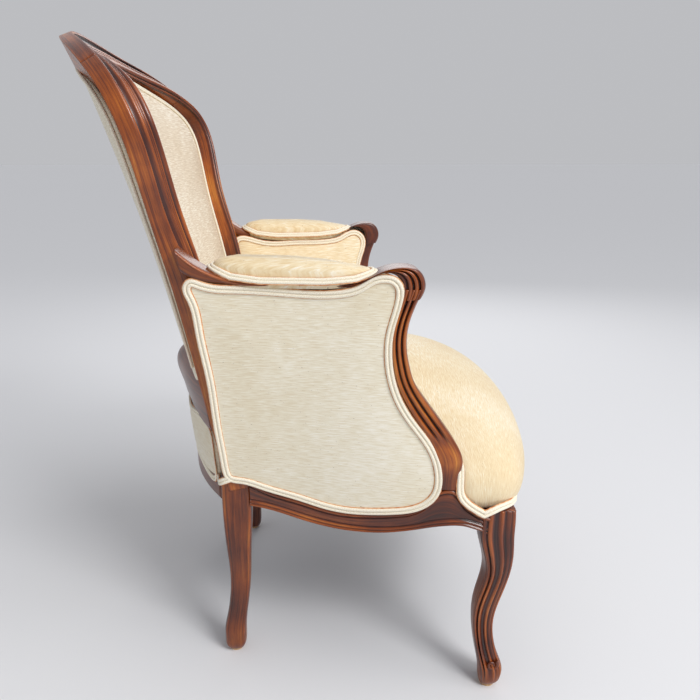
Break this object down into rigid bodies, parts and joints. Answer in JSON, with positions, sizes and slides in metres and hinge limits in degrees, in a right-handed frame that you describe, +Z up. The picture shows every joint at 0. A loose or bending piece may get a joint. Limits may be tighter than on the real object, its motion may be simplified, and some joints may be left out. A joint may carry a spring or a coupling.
{
  "type": "bergere armchair",
  "caption": "Low armchair with a carved show-wood frame on curved legs, closed upholstered sides, a bowed padded back, padded arms and a fixed domed seat.",
  "frame": {"origin": "on the floor, at the middle of the chair's width and depth", "axes": "+Z up, the front faces -Y, +X is the sitter's left"},
  "size_m": [0.6448, 0.7071, 0.9608],
  "materials": {
    "dust_cloth": "thin black cloth",
    "glide": "tan nylon",
    "hessian": "open jute cloth",
    "hidden_wood": "plain beech, unfinished",
    "show_wood": "stained walnut, satin",
    "silk": "cream slubbed silk, closely woven",
    "spring": "plain drawn wire",
    "stuffing": "stitched fibre stuffing",
    "webbing": "woven jute bands",
    "welt": "cream double cord"
  },
  "bodies": {
    "root": {"arm_left": "show_wood", "arm_pad_left": "silk", "arm_pad_right": "silk", "arm_pad_welt_left": "welt", "arm_pad_welt_right": "welt", "arm_right": "show_wood", "arm_support_left": "show_wood", "arm_support_right": "show_wood", "back_webbing": "webbing", "crest_rail": "show_wood", "dust_cover": "dust_cloth", "front_corner_block_left": "hidden_wood", "front_corner_block_right": "hidden_wood", "front_glide_left": "glide", "front_glide_right": "glide", "front_leg_left": "show_wood", "front_leg_right": "show_wood", "front_seat_rail": "show_wood", "inner_back_pad": "silk", "inner_side_pad_left": "silk", "inner_side_pad_right": "silk", "lower_back_panel": "silk", "lower_back_rail": "show_wood", "outer_back_panel": "silk", "outer_side_panel_left": "silk", "outer_side_panel_right": "silk", "outer_side_welt_left": "welt", "outer_side_welt_right": "welt", "rear_corner_block_left": "hidden_wood", "rear_corner_block_right": "hidden_wood", "rear_glide_left": "glide", "rear_glide_right": "glide", "rear_leg_left": "show_wood", "rear_leg_right": "show_wood", "rear_seat_rail": "show_wood", "seat_cover": "silk", "seat_hessian": "hessian", "seat_springs": "spring", "seat_stuffing": "stuffing", "seat_webbing": "webbing", "seat_welt": "welt", "side_seat_rail_left": "show_wood", "side_seat_rail_right": "show_wood", "side_webbing_left": "webbing", "side_webbing_right": "webbing"}
  },
  "joints": []
}
